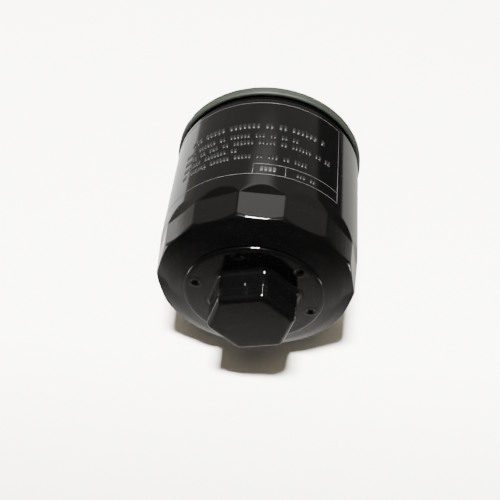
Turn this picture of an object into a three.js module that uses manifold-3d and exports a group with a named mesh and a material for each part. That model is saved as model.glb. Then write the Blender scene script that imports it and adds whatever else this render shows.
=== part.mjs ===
// Spin-on oil filter with a welded hex cap. Millimetres, +Z up.
// The filter lies on its side, with the gasket end towards +Y and the hex cap towards -Y.
// Profiles are lists of [radius, y] points, with y = 0 at the outer edge of the rolled seam, and
// angles are measured from +Z (up) towards +X. The closing group lifts the axis so that the seam
// rests on Z = 0, and centres the filter's length on the origin.

import * as THREE from 'three';
import { mergeVertices } from 'three/addons/utils/BufferGeometryUtils.js';
import Module from 'manifold-3d';

const wasm = await Module();
wasm.setup();

// ---------------------------------------------------------------- driving dimensions

const GAP = 0.3;                 // clearance between neighbouring pieces
const ROUND = 36;                // sides of every large turned piece
const SMALL_ROUND = 10;          // sides of small holes
const WIRE_SIDES = 6;            // sides of a coiled wire
const WIRE_STEPS = 12;           // steps in one turn of a coiled wire

const SEAM_R = 38.0;             // outside of the rolled seam
const SEAM_HEIGHT = 4.3;
const LID_SHEET = 0.5;
const LID_TURN_IN_R = 36.75;     // edge of the lid, turned in under the can's hook
const LID_HOLE_R = 25.5;

const SHELL_R = 37.2;            // outside of the painted can
const SHELL_SHEET = 0.7;
const SHELL_END = -73.0;         // outer face of the closed end
const NECK_R = 36.25;            // can drawn in under the seam
const HOOK_TOP = -1.8;           // top of the can's turned-over hook
const HOOK_R = 37.1;
const HOOK_DEPTH = 1.7;
const HOOK_SHEET = 0.6;
const COMPOUND_R = 35.95;        // inside of the sealing compound's ring

const FLATS = 14;                // wrench flats pressed round the closed end
const FLATS_TURN = 2.6;          // degrees from +Z to the middle of the uppermost flat
const FLAT_START = -54.0;        // top of the arch over each flat
const FLAT_FULL = -58.0;         // where neighbouring flats meet
const FLAT_DEPTH = 1.5;          // of the flat's middle below the can, at its lower end

const GASKET_OUTER_R = 34.55;
const GASKET_INNER_R = 30.75;
const GASKET_FACE = 1.8;         // stands this far above the seam
const GASKET_FOOT = -3.75;

const PLATE_R = 33.6;            // base plate
const PLATE_TOP = -4.85;
const PLATE_THICK = 3.2;
const PLATE_FOOT = PLATE_TOP - PLATE_THICK;
const THREAD_BORE_R = 8.8;       // minor radius of the 3/4-16 thread
const THREAD_LEAD_R = 9.9;       // countersink at the mouth of the thread
const HUB_R = 12.4;
const HUB_FOOT = -15.3;
const INLETS = 8;
const INLET_R = 3.2;
const INLET_PITCH_R = 19.5;

const VALVE_TOP = PLATE_FOOT - GAP;
const VALVE_WEB = 1.1;           // thickness of the drain-back valve's rubber
const VALVE_DISH = 1.2;          // the web stands this far off the plate
const VALVE_NECK_R = 15.6;
const VALVE_SPLIT_R = 20.0;      // the hub stays inside this radius, the lip flexes outside it
const VALVE_LIP_R = 26.8;

const CAP_SHEET = 0.5;           // pressed end caps of the element
const CAP_R = 32.85;
const CAP_HOLE_R = 12.9;
const BASE_CAP_FACE = -13.25;
const DOME_CAP_FACE = -62.75;
const CAP_RIM = 3.5;
const POTTING = 1.55;            // thickness of the cast ring that holds the pleats

const TUBE_R = 16.4;             // perforated centre tube
const TUBE_SHEET = 0.6;
const TUBE_SIDES = 24;
const TUBE_HOLE_R = 2.5;
const TUBE_HOLE_SIDES = 6;
const TUBE_ROWS = 4;
const TUBE_HOLES = 6;            // in each row

const PLEATS = 40;
const PLEAT_INNER_R = 17.2;
const PLEAT_OUTER_R = 31.8;
const PAPER = 0.8;               // thickness of the folded paper, embossing included
const CLIP_WIDTH = 2.6;          // clip over the joint between the paper's two ends
const CLIP_DEPTH = 3.2;
const CLIP_SHEET = 0.4;

const SEAT_R = 7.2;              // bypass valve seat
const SEAT_BORE_R = 6.2;
const SEAT_TOP = -60.6;
const SEAT_FLANGE_R = 11.0;
const BYPASS_SEAL = 1.2;
const BYPASS_DISC = 0.8;
const BYPASS_R = 8.8;
const CAGE_R = 10.5;
const CAGE_SHEET = 0.6;
const CAGE_TOP = -45.7;
const CAGE_FLANGE_R = 13.4;
const CAGE_WINDOWS = 4;
const BYPASS_WIRE_R = 0.6;
const BYPASS_COIL_R = 5.2;
const BYPASS_TURNS = 5;

const ELEMENT_WIRE_R = 0.9;      // cone spring that holds the element against the base plate
const ELEMENT_COIL_TOP_R = 15.0;
const ELEMENT_COIL_FOOT_R = 21.5;
const ELEMENT_TURNS = 3;

const HEX_ACROSS = 28.6;         // 1 1/8 in across the hex's flats
const HEX_CORNER_R = 16.0;       // the hex's corners are rounded to this radius
const HEX_TURN = -13.8;          // degrees from +Z to the middle of the hex's uppermost flat
const HEX_FRONT = -86.9;
const HEX_SHEET = 1.6;
const HEX_FLANGE_R = 25.7;
const HEX_FLANGE = 1.1;
const HEX_BACK = SHELL_END - GAP;
const HEX_FACE = HEX_BACK - HEX_FLANGE;
const WELDS = 6;
const WELD_PITCH_R = 21.8;
const WELD_R = 1.1;
const WELD_DEPTH = 0.5;

// ---------------------------------------------------------------- materials

function finish(color, roughness, metalness) {
  return new THREE.MeshStandardMaterial({ color, roughness, metalness });
}

const blackPaint = () => finish(0x1d1c1d, 0.28, 0.0);
const zincPlate = () => finish(0xb6bcae, 0.35, 1.0);
const bareSteel = () => finish(0x8f9396, 0.4, 1.0);
const springSteel = () => finish(0x6d7073, 0.35, 1.0);
const nitrile = () => finish(0x161617, 0.6, 0.0);
const silicone = () => finish(0xc4552e, 0.55, 0.0);
const paper = () => finish(0xd9c48f, 0.9, 0.0);
const plastisol = () => finish(0x7a2f2a, 0.6, 0.0);

// ---------------------------------------------------------------- shape helpers

const radians = THREE.MathUtils.degToRad;

// Leaves only positions, joins shared vertices and drops the triangles that close up on the axis.
function welded(geometry) {
  geometry.deleteAttribute('normal');
  geometry.deleteAttribute('uv');
  const joined = mergeVertices(geometry, 1e-4);
  const index = joined.getIndex().array;
  const kept = [];
  for (let i = 0; i < index.length; i += 3) {
    const [a, b, c] = [index[i], index[i + 1], index[i + 2]];
    if (a !== b && b !== c && c !== a) kept.push(a, b, c);
  }
  joined.setIndex(kept);
  return joined;
}

function solid(geometry) {
  const joined = welded(geometry);
  return new wasm.Manifold(new wasm.Mesh({
    numProp: 3,
    vertProperties: new Float32Array(joined.getAttribute('position').array),
    triVerts: new Uint32Array(joined.getIndex().array),
  }));
}

function geometryOf(manifold) {
  const mesh = manifold.getMesh();
  const geometry = new THREE.BufferGeometry();
  geometry.setAttribute('position', new THREE.BufferAttribute(mesh.vertProperties, 3));
  geometry.setIndex(new THREE.BufferAttribute(mesh.triVerts, 1));
  return geometry;
}

// Turns a closed [radius, y] profile about Y. A flat side, not a corner, is centred on `turn`
// degrees from +Z.
function turned(profile, sides = ROUND, turn = 0) {
  const points = profile.map(([r, y]) => new THREE.Vector2(r, y));
  const area = THREE.ShapeUtils.area(points);
  if (area < 0) points.reverse();
  const onAxis = points.findIndex((p, i) => p.x === 0 && points[(i + 1) % points.length].x === 0);
  if (onAxis >= 0) {
    const start = (onAxis + 1) % points.length;
    points.push(...points.splice(0, start));
  } else {
    points.push(points[0].clone());
  }
  return new THREE.LatheGeometry(points, sides, radians(turn) + Math.PI / sides);
}

function ring(innerR, outerR, top, foot, sides = ROUND) {
  return turned([[innerR, foot], [outerR, foot], [outerR, top], [innerR, top]], sides);
}

function disc(outerR, top, foot, sides = ROUND) {
  return turned([[0, foot], [outerR, foot], [outerR, top], [0, top]], sides);
}

// Moves an open profile line sideways by `offset`, to its left, with mitred corners.
function shifted(line, offset) {
  const points = line.map(([r, y]) => new THREE.Vector2(r, y));
  const normals = points.slice(1).map((p, i) => {
    const along = p.clone().sub(points[i]).normalize();
    return new THREE.Vector2(-along.y, along.x);
  });
  return points.map((p, i) => {
    const before = normals[Math.max(i - 1, 0)];
    const after = normals[Math.min(i, normals.length - 1)];
    const mitre = before.clone().add(after).multiplyScalar(1 / (1 + before.dot(after)));
    return [p.x + mitre.x * offset, p.y + mitre.y * offset];
  });
}

// Profile of pressed sheet metal whose middle follows `line`.
function sheet(line, thickness) {
  const left = shifted(line, thickness / 2);
  const right = shifted(line, -thickness / 2);
  return [...left, ...right.reverse()];
}

// A cylinder along Y with its centre at angle `turn` (degrees from +Z) and radius `pitchR`.
function peg(radius, top, foot, pitchR, turn, sides = SMALL_ROUND) {
  const cylinder = new THREE.CylinderGeometry(radius, radius, top - foot, sides);
  cylinder.translate(0, (top + foot) / 2, pitchR);
  cylinder.rotateY(radians(turn));
  return cylinder;
}

// A bar that points outward from the axis, for cutting holes in the wall of a tube.
function spoke(radius, y, innerR, outerR, turn, sides) {
  const cylinder = new THREE.CylinderGeometry(radius, radius, outerR - innerR, sides);
  cylinder.rotateX(Math.PI / 2);
  cylinder.translate(0, y, (innerR + outerR) / 2);
  cylinder.rotateY(radians(turn));
  return cylinder;
}

// Wire coiled about Y. `radiusAt` and `heightAt` take the fraction of the way along the wire.
function coil(wireR, turns, radiusAt, heightAt) {
  class Helix extends THREE.Curve {
    getPoint(t, target = new THREE.Vector3()) {
      const angle = t * turns * 2 * Math.PI;
      return target.set(radiusAt(t) * Math.sin(angle), heightAt(t), radiusAt(t) * Math.cos(angle));
    }
  }
  const section = new THREE.Shape();
  section.absarc(0, 0, wireR, 0, 2 * Math.PI);
  return new THREE.ExtrudeGeometry(section, {
    extrudePath: new Helix(), steps: turns * WIRE_STEPS, curveSegments: WIRE_SIDES / 2, bevelEnabled: false,
  });
}

// Closed coil ends: the pitch is squeezed out of the first and last `flat` share of the wire.
function closedEnds(t, flat) {
  return THREE.MathUtils.clamp((t - flat) / (1 - 2 * flat), 0, 1);
}

// ---------------------------------------------------------------- can

// Outline of the can from the centre of the closed end to just under the seam.
const canSide = [
  [0, SHELL_END], [24.0, SHELL_END], [30.0, SHELL_END + 1.1], [32.5, SHELL_END + 2.2],
  [34.5, SHELL_END + 3.5], [36.6, SHELL_END + 5.2], [SHELL_R, SHELL_END + 6.2],
  [SHELL_R, -5.9], [NECK_R, -4.8],
];

// The pressed flats as a stack of 14-sided sections: [distance to the flat, y].
const flatSide = [
  [SHELL_R + 0.4, 2], [SHELL_R + 0.4, FLAT_START + 1.5], [SHELL_R, FLAT_START],
  [SHELL_R * Math.cos(Math.PI / FLATS), FLAT_FULL], [SHELL_R - FLAT_DEPTH, SHELL_END + 4.8],
  [SHELL_R - FLAT_DEPTH - 0.3, SHELL_END - 1],
];

function canSolid(inset, top) {
  const side = shifted(canSide, inset);
  side[0][0] = 0;
  const rim = [side.at(-1)[0], top];
  const body = solid(turned([...side, rim, [0, top]]));
  const scale = 1 / Math.cos(Math.PI / FLATS);
  const flats = shifted(flatSide.toReversed(), inset).map(([r, y]) => [r * scale, y]);
  const tool = solid(turned([[0, flats[0][1]], ...flats, [0, flats.at(-1)[1]]], FLATS, FLATS_TURN));
  return body.intersect(tool);
}

function shell() {
  const hook = [
    [NECK_R - SHELL_SHEET / 2, HOOK_TOP], [HOOK_R, HOOK_TOP], [HOOK_R, HOOK_TOP - HOOK_DEPTH],
    [HOOK_R - 0.5, HOOK_TOP - HOOK_DEPTH], [HOOK_R - 0.5, HOOK_TOP - HOOK_SHEET],
    [NECK_R - SHELL_SHEET / 2, HOOK_TOP - HOOK_SHEET],
  ];
  const can = canSolid(0, HOOK_TOP).subtract(canSolid(SHELL_SHEET, 1));
  return geometryOf(can.add(solid(turned(hook))));
}

function hexCap() {
  const toCorner = 1 / Math.cos(Math.PI / WELDS);
  const flat = HEX_ACROSS / 2;
  const hex = (side) => turned(side.map(([r, y]) => [r * toCorner, y]), 6, HEX_TURN);
  const outside = solid(hex([
    [0, HEX_FRONT], [flat - 2.2, HEX_FRONT], [flat - 0.7, HEX_FRONT + 0.6],
    [flat, HEX_FRONT + 2.0], [flat, HEX_FACE - 2.4], [flat + 0.6, HEX_FACE - 1.0],
    [flat + 2.4, HEX_FACE], [flat + 2.4, HEX_BACK], [0, HEX_BACK],
  ])).intersect(solid(disc(HEX_CORNER_R, HEX_FACE - 1.6, HEX_FRONT - 1)).add(
    solid(disc(HEX_FLANGE_R - 2, HEX_BACK, HEX_FACE - 1.7))));
  const flange = solid(turned([
    [0, HEX_BACK], [HEX_FLANGE_R, HEX_BACK], [HEX_FLANGE_R, HEX_FACE + 0.7],
    [HEX_FLANGE_R - 0.7, HEX_FACE], [0, HEX_FACE],
  ]));
  const hollow = solid(hex([
    [0, HEX_FRONT + HEX_SHEET], [flat - HEX_SHEET - 1, HEX_FRONT + HEX_SHEET],
    [flat - HEX_SHEET, HEX_FRONT + HEX_SHEET + 1], [flat - HEX_SHEET, HEX_BACK + 1],
    [0, HEX_BACK + 1],
  ]));
  let cap = outside.add(flange).subtract(hollow);
  for (let i = 0; i < WELDS; i++) {
    const turn = HEX_TURN + i * 360 / WELDS;
    const dimple = peg(WELD_R, HEX_FACE + WELD_DEPTH, HEX_FACE - 1, WELD_PITCH_R, turn, 8);
    cap = cap.subtract(solid(dimple));
  }
  return geometryOf(cap);
}

// ---------------------------------------------------------------- base end

function seamingLid() {
  const skirt = SEAM_R - LID_SHEET / 2;
  const top = -LID_SHEET / 2;
  const curl = LID_SHEET / 2 - SEAM_HEIGHT;
  const wall = GASKET_OUTER_R + GAP + LID_SHEET / 2;
  const floor = GASKET_FOOT - GAP - LID_SHEET / 2;
  const ridge = GASKET_INNER_R - GAP - LID_SHEET / 2;
  return welded(turned(sheet([
    [LID_TURN_IN_R, curl], [skirt, curl], [skirt, top - 0.5], [skirt - 0.5, top], [wall + 0.5, top],
    [wall, top - 0.5], [wall, floor], [ridge, floor], [ridge, -1.5], [ridge - 1.2, -1.5],
    [ridge - 2.4, floor], [LID_HOLE_R, floor],
  ], LID_SHEET)));
}

const seamCompound = () => welded(ring(COMPOUND_R, HOOK_R, HOOK_TOP + 0.9, HOOK_TOP + GAP));

function gasket() {
  const crown = 0.5;
  return welded(turned([
    [GASKET_INNER_R, GASKET_FOOT], [GASKET_OUTER_R, GASKET_FOOT],
    [GASKET_OUTER_R, GASKET_FACE - crown], [GASKET_OUTER_R - crown, GASKET_FACE],
    [GASKET_INNER_R + crown, GASKET_FACE], [GASKET_INNER_R, GASKET_FACE - crown],
  ]));
}

function basePlate() {
  const lead = THREAD_LEAD_R - THREAD_BORE_R;
  let plate = solid(turned([
    [THREAD_BORE_R, HUB_FOOT], [HUB_R, HUB_FOOT], [HUB_R, PLATE_FOOT], [PLATE_R, PLATE_FOOT],
    [PLATE_R, PLATE_TOP], [THREAD_LEAD_R, PLATE_TOP], [THREAD_BORE_R, PLATE_TOP - lead],
  ]));
  for (let i = 0; i < INLETS; i++) {
    const turn = i * 360 / INLETS;
    plate = plate.subtract(solid(peg(INLET_R, PLATE_TOP + 1, PLATE_FOOT - 1, INLET_PITCH_R, turn)));
  }
  return geometryOf(plate);
}

// The drain-back valve is one rubber moulding: its hub is clamped and its lip flexes.
function drainbackHub() {
  const webTop = VALVE_TOP - VALVE_DISH;
  const boreR = HUB_R + GAP + 0.05;
  return welded(turned([
    [boreR, BASE_CAP_FACE + GAP], [VALVE_NECK_R, BASE_CAP_FACE + GAP],
    [VALVE_NECK_R, webTop - VALVE_WEB], [VALVE_SPLIT_R - GAP, webTop - VALVE_WEB],
    [VALVE_SPLIT_R - GAP, webTop], [VALVE_NECK_R, webTop], [VALVE_NECK_R, VALVE_TOP],
    [boreR, VALVE_TOP],
  ]));
}

function drainbackLip() {
  return welded(turned([
    [VALVE_SPLIT_R, VALVE_TOP - VALVE_DISH - VALVE_WEB], [VALVE_LIP_R, VALVE_TOP - VALVE_WEB + 0.3],
    [VALVE_LIP_R, VALVE_TOP], [VALVE_LIP_R - 1.4, VALVE_TOP], [VALVE_SPLIT_R, VALVE_TOP - VALVE_DISH],
  ]));
}

// ---------------------------------------------------------------- element

function endCap(face, toward, holeR) {
  const middle = face + toward * CAP_SHEET / 2;
  const rimR = CAP_R - CAP_SHEET / 2;
  return welded(turned(sheet([[holeR, middle], [rimR, middle], [rimR, face + toward * CAP_RIM]],
    CAP_SHEET)));
}

function potting(face, toward) {
  const start = face + toward * (CAP_SHEET + GAP);
  const end = start + toward * POTTING;
  return welded(ring(TUBE_R + GAP, CAP_R - CAP_SHEET - GAP, Math.max(start, end), Math.min(start, end)));
}

const elementTop = BASE_CAP_FACE - CAP_SHEET - GAP;
const elementFoot = DOME_CAP_FACE + CAP_SHEET + GAP;
const paperTop = elementTop - POTTING - GAP;
const paperFoot = elementFoot + POTTING + GAP;

function centreTube() {
  let tube = solid(ring(TUBE_R - TUBE_SHEET, TUBE_R, elementTop, elementFoot, TUBE_SIDES));
  const rowPitch = (elementTop - elementFoot) / TUBE_ROWS;
  for (let row = 0; row < TUBE_ROWS; row++) {
    for (let i = 0; i < TUBE_HOLES; i++) {
      const turn = (i + (row % 2) / 2) * 360 / TUBE_HOLES;
      const y = elementFoot + (row + 0.5) * rowPitch;
      tube = tube.subtract(solid(spoke(TUBE_HOLE_R, y, TUBE_R - 3, TUBE_R + 3, turn, TUBE_HOLE_SIDES)));
    }
  }
  return geometryOf(tube);
}

// Star-shaped fold line of the paper. The fold under the clip is shorter than the others.
function pleatOutline(side) {
  const step = 2 * Math.PI / PLEATS;
  const points = [];
  for (let i = 0; i < PLEATS; i++) {
    const tip = i === 0 ? PLEAT_OUTER_R - 1 - CLIP_SHEET : PLEAT_OUTER_R;
    const tipR = tip - (side < 0 ? PAPER : 0);
    const rootR = PLEAT_INNER_R + (side > 0 ? PAPER : 0);
    const tipHalf = (side > 0 ? PAPER : 0.25) / tipR;
    const rootHalf = (side > 0 ? 0.25 : PAPER) / rootR;
    points.push([tipR, i * step - tipHalf], [tipR, i * step + tipHalf]);
    points.push([rootR, (i + 0.5) * step - rootHalf], [rootR, (i + 0.5) * step + rootHalf]);
  }
  return points.map(([r, a]) => new THREE.Vector2(r * Math.sin(a), -r * Math.cos(a)));
}

function pleatedMedia() {
  const section = new THREE.Shape(pleatOutline(1));
  section.holes.push(new THREE.Path(pleatOutline(-1)));
  const media = new THREE.ExtrudeGeometry(section, { depth: paperTop - paperFoot, bevelEnabled: false });
  media.rotateX(-Math.PI / 2);
  media.translate(0, paperFoot, 0);
  return welded(media);
}

function pleatClip() {
  const half = CLIP_WIDTH / 2;
  const wall = half - CLIP_SHEET;
  const outer = PLEAT_OUTER_R;
  const legs = outer - CLIP_DEPTH;
  const section = new THREE.Shape([
    [-half, legs], [-wall, legs], [-wall, outer - CLIP_SHEET], [wall, outer - CLIP_SHEET],
    [wall, legs], [half, legs], [half, outer], [-half, outer],
  ].map(([x, r]) => new THREE.Vector2(x, -r)));
  const clip = new THREE.ExtrudeGeometry(section, { depth: paperTop - paperFoot, bevelEnabled: false });
  clip.rotateX(-Math.PI / 2);
  clip.translate(0, paperFoot, 0);
  return welded(clip);
}

// ---------------------------------------------------------------- bypass valve and springs

function bypassSeat() {
  const flangeTop = DOME_CAP_FACE - GAP;
  return welded(turned([
    [SEAT_BORE_R, flangeTop - 0.6], [SEAT_FLANGE_R, flangeTop - 0.6], [SEAT_FLANGE_R, flangeTop],
    [SEAT_R, flangeTop], [SEAT_R, SEAT_TOP], [SEAT_BORE_R, SEAT_TOP],
  ], 24));
}

const sealTop = SEAT_TOP + GAP + BYPASS_SEAL;
const discTop = sealTop + GAP + BYPASS_DISC;
const bypassSeal = () => welded(disc(BYPASS_R - 0.4, sealTop, SEAT_TOP + GAP, 24));
const bypassDisc = () => welded(disc(BYPASS_R, discTop, sealTop + GAP, 24));

function bypassCage() {
  const wall = CAGE_R - CAGE_SHEET / 2;
  const flange = elementFoot - 0.02 + CAGE_SHEET / 2;
  const roof = CAGE_TOP - CAGE_SHEET / 2;
  let cage = solid(turned(sheet([[CAGE_FLANGE_R, flange], [wall, flange], [wall, roof], [3, roof]],
    CAGE_SHEET), 24));
  for (let i = 0; i < CAGE_WINDOWS; i++) {
    const window = new THREE.BoxGeometry(7, 9, 6);
    window.translate(0, (CAGE_TOP + elementFoot) / 2, CAGE_R);
    window.rotateY(radians(i * 360 / CAGE_WINDOWS));
    cage = cage.subtract(solid(window));
  }
  return geometryOf(cage);
}

function bypassSpring() {
  const foot = discTop + GAP + BYPASS_WIRE_R;
  const top = CAGE_TOP - CAGE_SHEET - GAP - BYPASS_WIRE_R;
  return welded(coil(BYPASS_WIRE_R, BYPASS_TURNS, () => BYPASS_COIL_R,
    (t) => THREE.MathUtils.lerp(foot, top, closedEnds(t, 0.12))));
}

function elementSpring() {
  const top = DOME_CAP_FACE - GAP - ELEMENT_WIRE_R;
  const foot = SHELL_END + SHELL_SHEET + GAP + ELEMENT_WIRE_R;
  return welded(coil(ELEMENT_WIRE_R, ELEMENT_TURNS,
    (t) => THREE.MathUtils.lerp(ELEMENT_COIL_TOP_R, ELEMENT_COIL_FOOT_R, t),
    (t) => THREE.MathUtils.lerp(top, foot, closedEnds(t, 0.16))));
}

// ---------------------------------------------------------------- assembly

const pieces = {
  shell: [shell(), blackPaint()],
  hex_cap: [hexCap(), blackPaint()],
  seaming_lid: [seamingLid(), zincPlate()],
  seam_compound: [seamCompound(), plastisol()],
  gasket: [gasket(), nitrile()],
  base_plate: [basePlate(), zincPlate()],
  drainback_valve_hub: [drainbackHub(), silicone()],
  drainback_valve_lip: [drainbackLip(), silicone()],
  base_end_cap: [endCap(BASE_CAP_FACE, -1, CAP_HOLE_R), bareSteel()],
  base_end_potting: [potting(BASE_CAP_FACE, -1), plastisol()],
  centre_tube: [centreTube(), bareSteel()],
  pleated_media: [pleatedMedia(), paper()],
  pleat_clip: [pleatClip(), bareSteel()],
  dome_end_potting: [potting(DOME_CAP_FACE, 1), plastisol()],
  dome_end_cap: [endCap(DOME_CAP_FACE, 1, SEAT_R + 1.5), bareSteel()],
  bypass_seat: [bypassSeat(), bareSteel()],
  bypass_seal: [bypassSeal(), nitrile()],
  bypass_disc: [bypassDisc(), bareSteel()],
  bypass_spring: [bypassSpring(), springSteel()],
  bypass_cage: [bypassCage(), bareSteel()],
  element_spring: [elementSpring(), springSteel()],
};

const filter = new THREE.Group();
for (const [name, [geometry, material]] of Object.entries(pieces)) {
  const mesh = new THREE.Mesh(geometry, material);
  mesh.name = name;
  filter.add(mesh);
}
filter.position.set(0, -(GASKET_FACE + HEX_FRONT) / 2, SEAM_R * Math.cos(Math.PI / ROUND));

export default filter;
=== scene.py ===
"""Looks of a spin-on oil filter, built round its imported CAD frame.

The filter lies on its side at Z = 0, with its gasket end towards +Y and its hex cap towards -Y.
Outlines are lists of (radius, height) points in millimetres, with heights measured along the
axis from the gasket face (0) to the front of the hex cap. A turn is an angle round the axis, in
degrees, from straight up towards +X. `spot` turns them into metres in the frame.
"""

import math
import random

import bmesh
import bpy
from mathutils import Matrix, Quaternion, Vector
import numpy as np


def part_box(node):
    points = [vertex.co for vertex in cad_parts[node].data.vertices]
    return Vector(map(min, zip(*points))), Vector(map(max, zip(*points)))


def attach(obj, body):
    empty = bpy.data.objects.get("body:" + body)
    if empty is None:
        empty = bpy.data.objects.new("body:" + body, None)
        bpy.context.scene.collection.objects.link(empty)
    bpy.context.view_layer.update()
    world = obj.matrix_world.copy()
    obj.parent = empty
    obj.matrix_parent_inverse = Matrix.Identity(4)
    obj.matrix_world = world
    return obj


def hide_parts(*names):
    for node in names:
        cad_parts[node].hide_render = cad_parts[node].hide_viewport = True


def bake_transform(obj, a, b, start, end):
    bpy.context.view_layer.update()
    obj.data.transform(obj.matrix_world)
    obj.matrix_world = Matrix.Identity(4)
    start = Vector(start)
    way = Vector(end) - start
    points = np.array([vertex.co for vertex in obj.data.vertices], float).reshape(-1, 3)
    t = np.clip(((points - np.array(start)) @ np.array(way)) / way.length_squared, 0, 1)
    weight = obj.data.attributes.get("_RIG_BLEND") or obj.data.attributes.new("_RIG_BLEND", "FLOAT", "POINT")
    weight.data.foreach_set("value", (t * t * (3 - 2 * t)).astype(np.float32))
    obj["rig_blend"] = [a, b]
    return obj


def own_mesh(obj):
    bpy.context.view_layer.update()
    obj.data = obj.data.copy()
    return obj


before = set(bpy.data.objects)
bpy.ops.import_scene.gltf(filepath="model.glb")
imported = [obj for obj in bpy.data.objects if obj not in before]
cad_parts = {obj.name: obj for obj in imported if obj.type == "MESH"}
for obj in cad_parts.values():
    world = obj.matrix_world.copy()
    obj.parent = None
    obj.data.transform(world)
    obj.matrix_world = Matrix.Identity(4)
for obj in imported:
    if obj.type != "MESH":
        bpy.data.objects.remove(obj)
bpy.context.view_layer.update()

MM = 0.001

# ------------------------------------------------------------------ driving dimensions

FLATS = 14                  # wrench flats round the closed end
FLATS_TURN = 2.6            # turn of the uppermost flat's middle
FLAT_APEX = 55.8            # top of the arch that runs into each flat
FLAT_FULL = 59.8            # where neighbouring flats meet
FLAT_END = 70.0             # where the flats round over into the domed end
FLAT_DEPTH = 1.5            # of a flat's middle below the can, at its upper end

BODY_LENGTH = 68.7          # of the can, from its seam to its closed end
NECK_R = 36.25              # inside the seam, where the can's rim hooks outwards
NECK_FOOT = 6.4             # where the neck begins, just above the seam

HEX_ACROSS = 28.6
HEX_TURN = -13.8            # turn of the hex's uppermost flat
HEX_CORNER = 2.6            # rounding of the hex's upright corners
HEX_EDGE = 2.2              # rounding round the hex's front
HEX_FILLET = 1.9            # between the hex's sides and its flange
PRESS_LINES = 0.10          # depth of the two press lines near the hex's front
PRESS_PITCH = 0.2           # share of the side that each takes
HEX_SHEET = 1.6             # sheet of the hex cap
WELDS = 6
WELD_PITCH = 21.8
WELD_RADIUS = 1.7
WELD_DEPTH = 0.8
WELD_LIP = 0.13             # raised rim round each dimple
WELD_LIP_WIDTH = 0.30
FLANGE_FACE = 1.1           # of the flange's front above its back
FLANGE_FALL = 0.25          # the flange slopes down this far to its rounded edge
FLANGE_ROUND = (1.9, 0.75)  # across, down

LID_SHEET = 0.6             # sheet of the rolled seam
SHELL_SHEET = 0.7
CAP_SHEET = 0.5

THREAD_PITCH = 25.4 / 16    # 3/4-16 UNF
THREAD_DEPTH = 0.72
INLETS = 8
INLET_RADIUS = 3.2
INLET_PITCH = 19.5

PLEATS = 40
PAPER = 0.5
TUBE_HOLES = 12             # holes in each row of the centre tube
TUBE_ROWS = 7
TUBE_HOLE = 2.0             # radius of a hole
TUBE_WALL = 0.6

PRINT_THICK = 0.04          # screen print stands this far above the paint

CAMERA_AIM = (-3.37, -9.15, 37.86)
CAMERA_DISTANCE = 309.9
CAMERA_AZIMUTH = 5.23
CAMERA_ELEVATION = 48.04
CAMERA_LENS = 58.745

KEY_AZIMUTH = -6.0          # the key light is a wide panel above and slightly in front
KEY_ELEVATION = 80.8
KEY_DISTANCE = 1700.0
KEY_WIDTH = 300.0
KEY_DEPTH = 150.0
KEY_POWER = 330.0
KEY_TURN = -8.0             # of the panel's long side from the X axis
FILL_POWER = 9.0            # a dim warm lamp overhead, which the gloss doesn't mirror
FILL_SIZE = 1600.0
FILL_HEIGHT = 1500.0

TABLE_RADIUS = 950.0
BACKDROP_RADIUS = 5000.0
BACKDROP_DROP = 40.0        # of its middle below the table
CARD_HEIGHT = 0.3           # of the glowing painted-reflection cards above the table
CARD_REACH = 6000.0
CARD_LEFT = -260.0          # sides of the painted reflection of the bright table
CARD_RIGHT = 200.0
CARD_FRONT = -45.0          # where the painted reflection of the dim table in front begins
SHADE_BACK = -12.0          # where the painted reflection of the table next to the filter ends
SHADE_HALF = 120.0          # half the width of that painted reflection

# ------------------------------------------------------------------ sizes taken from the frame

GASKET_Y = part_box("gasket")[1].y
AXIS_Z = (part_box("gasket")[0].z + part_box("gasket")[1].z) / 2


def top(node):
    """Height of a node's hex-side end above the gasket face."""
    return (GASKET_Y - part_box(node)[0].y) / MM


def foot(node):
    return (GASKET_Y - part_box(node)[1].y) / MM


def radii(node):
    return [math.hypot(v.co.x, v.co.z - AXIS_Z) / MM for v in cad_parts[node].data.vertices]


def reach(node):
    """Largest distance of a node's corners from the axis."""
    return max(radii(node))


def bore(node):
    """Smallest distance of a node's corners from the axis."""
    return min(radii(node))


def section(node):
    """Bore, reach, foot and top of a ring."""
    return bore(node), reach(node), foot(node), top(node)


SHELL_R = reach("shell")
SHELL_TOP = top("shell")
SEAM_R = reach("seaming_lid")
SEAM_FOOT = foot("seaming_lid")
SEAM_TOP = SHELL_TOP - BODY_LENGTH

# ------------------------------------------------------------------ outlines


def rounded(points, closed=True, step=12):
    """Outline with an arc at each corner (radius, z, corner rounding)."""
    out = []
    count = len(points)
    for i, (r, z, rounding) in enumerate(points):
        corner = Vector((r, z))
        if rounding == 0 or (not closed and i in (0, count - 1)):
            out.append((r, z))
            continue
        back = Vector(points[i - 1][:2]) - corner
        ahead = Vector(points[(i + 1) % count][:2]) - corner
        half = back.angle(ahead) / 2
        if half > math.radians(89):
            out.append((r, z))
            continue
        setback = min(rounding / math.tan(half), back.length * 0.499, ahead.length * 0.499)
        start = corner + back.normalized() * setback
        end = corner + ahead.normalized() * setback
        middle = corner + (back.normalized() + ahead.normalized()).normalized() * setback / math.cos(half)
        sweep = (start - middle).angle_signed(end - middle)
        steps = max(2, math.ceil(abs(math.degrees(sweep)) / step))
        for k in range(steps + 1):
            turned_by = Matrix.Rotation(-sweep * k / steps, 2)
            out.append(tuple(middle + turned_by @ (start - middle)))
    return out


def offset(line, distance):
    """Open line moved sideways, to its left."""
    points = [Vector(p) for p in line]
    normals = []
    for a, b in zip(points, points[1:]):
        along = (b - a).normalized()
        normals.append(Vector((-along.y, along.x)))
    moved = []
    for i, p in enumerate(points):
        before, after = normals[max(i - 1, 0)], normals[min(i, len(normals) - 1)]
        moved.append(tuple(p + (before + after) * (distance / (1 + before.dot(after)))))
    return moved


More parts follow.
